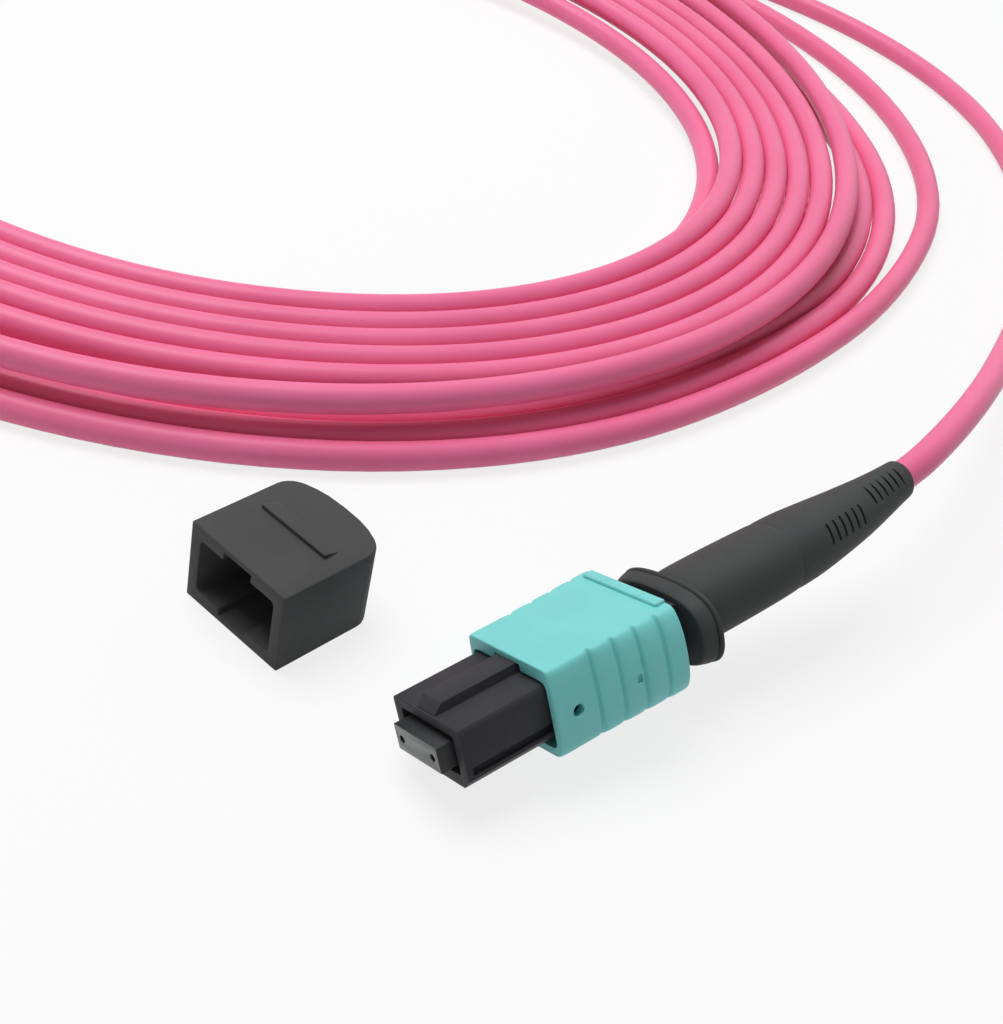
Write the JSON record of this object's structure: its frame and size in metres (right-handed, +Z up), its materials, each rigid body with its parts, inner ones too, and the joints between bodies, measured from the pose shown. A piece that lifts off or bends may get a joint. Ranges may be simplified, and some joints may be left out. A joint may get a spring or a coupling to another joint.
{
  "type": "mpo_patch_cable",
  "caption": "Coiled pink fibre patch cable with aqua push-pull multi-fibre connectors, one dust cap pulled off and lying on the table.",
  "frame": {"origin": "centre of the footprint of the two connectors and their caps, on the table", "axes": "+Z up from the table, +Y away from the viewer towards the coil, +X to the viewer's right"},
  "size_m": [0.2265, 0.2177, 0.0151],
  "materials": {
    "filled_resin": "dark grey glass-filled resin, ground and polished end face",
    "soft_rubber": "satin black moulded elastomer",
    "spring_steel": "bright drawn wire and stamped steel",
    "ribbon": "clear-coated flat ribbon of fibres",
    "black_plastic": "satin black moulded plastic",
    "aqua_plastic": "satin aqua moulded plastic with a fine grain",
    "crimp_metal": "drawn and crimped sleeve",
    "cap_plastic": "matt dark grey moulded plastic with fine sparkle grain",
    "pink_jacket": "satin pink extruded jacket"
  },
  "bodies": {
    "cable": {"a_inner_housing": "black_plastic", "a_rear_body": "black_plastic", "a_crimp_ring": "crimp_metal", "a_strain_relief": "soft_rubber", "a_ferrule_spring": "spring_steel", "a_coupling_springs": "spring_steel", "b_inner_housing": "black_plastic", "b_rear_body": "black_plastic", "b_crimp_ring": "crimp_metal", "b_strain_relief": "soft_rubber", "b_ferrule_spring": "spring_steel", "b_coupling_springs": "spring_steel", "a_dust_cap": "cap_plastic", "cable_coil": "pink_jacket", "cable_lead_a": "pink_jacket", "cable_lead_b": "pink_jacket"},
    "a_coupling_sleeve": {"a_coupling": "aqua_plastic"},
    "a_ferrule_set": {"a_ferrule": "filled_resin", "a_ferrule_boot": "soft_rubber", "a_pin_keeper": "spring_steel", "a_fibre_ribbon": "ribbon"},
    "b_coupling_sleeve": {"b_coupling": "aqua_plastic"},
    "b_ferrule_set": {"b_ferrule": "filled_resin", "b_ferrule_boot": "soft_rubber", "b_pin_keeper": "spring_steel", "b_fibre_ribbon": "ribbon"},
    "b_cap": {"b_dust_cap": "cap_plastic"}
  },
  "joints": [
    {"name": "a_coupling_slide", "type": "slide", "parent": "cable", "child": "a_coupling_sleeve", "axis": [0.6754, 0.7242, 0.1392], "range_m": [0, 0.002], "stiffness_N_per_m": 1000, "deforming": ["a_coupling_springs"]},
    {"name": "a_ferrule_float", "type": "slide", "parent": "cable", "child": "a_ferrule_set", "axis": [0.6754, 0.7242, 0.1392], "range_m": [0, 0.0008], "stiffness_N_per_m": 2000, "deforming": ["a_ferrule_spring"]},
    {"name": "b_coupling_slide", "type": "slide", "parent": "cable", "child": "b_coupling_sleeve", "axis": [-0.5299, 0.848, 0], "range_m": [0, 0.002], "stiffness_N_per_m": 1000, "deforming": ["b_coupling_springs"]},
    {"name": "b_ferrule_float", "type": "slide", "parent": "cable", "child": "b_ferrule_set", "axis": [-0.5299, 0.848, 0], "range_m": [0, 0.0008], "stiffness_N_per_m": 2000, "deforming": ["b_ferrule_spring"]},
    {"name": "b_cap_pull", "type": "slide", "parent": "cable", "child": "b_cap", "axis": [0.5299, -0.848, 0], "range_m": [0, 0.012]}
  ]
}
